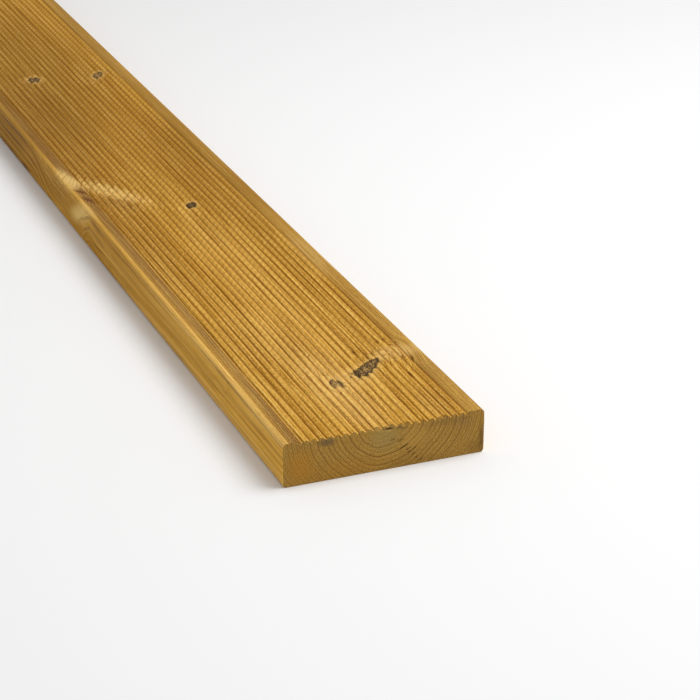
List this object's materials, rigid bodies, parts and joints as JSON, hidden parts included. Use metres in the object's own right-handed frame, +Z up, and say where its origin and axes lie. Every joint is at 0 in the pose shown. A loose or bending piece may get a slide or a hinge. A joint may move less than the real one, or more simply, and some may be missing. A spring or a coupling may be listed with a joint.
{
  "type": "decking board",
  "caption": "Length of softwood decking board with a finely reeded walking face, plain rounded long edges and ends sawn square.",
  "frame": {"origin": "middle of the plain underside", "axes": "+X along the board, +Y across its width, +Z up through its thickness, towards the reeded face"},
  "size_m": [1.8, 0.145, 0.032],
  "materials": {
    "treated_softwood": "moulded and pressure treated, unsealed"
  },
  "bodies": {
    "root": {"decking_board": "treated_softwood"}
  },
  "joints": []
}
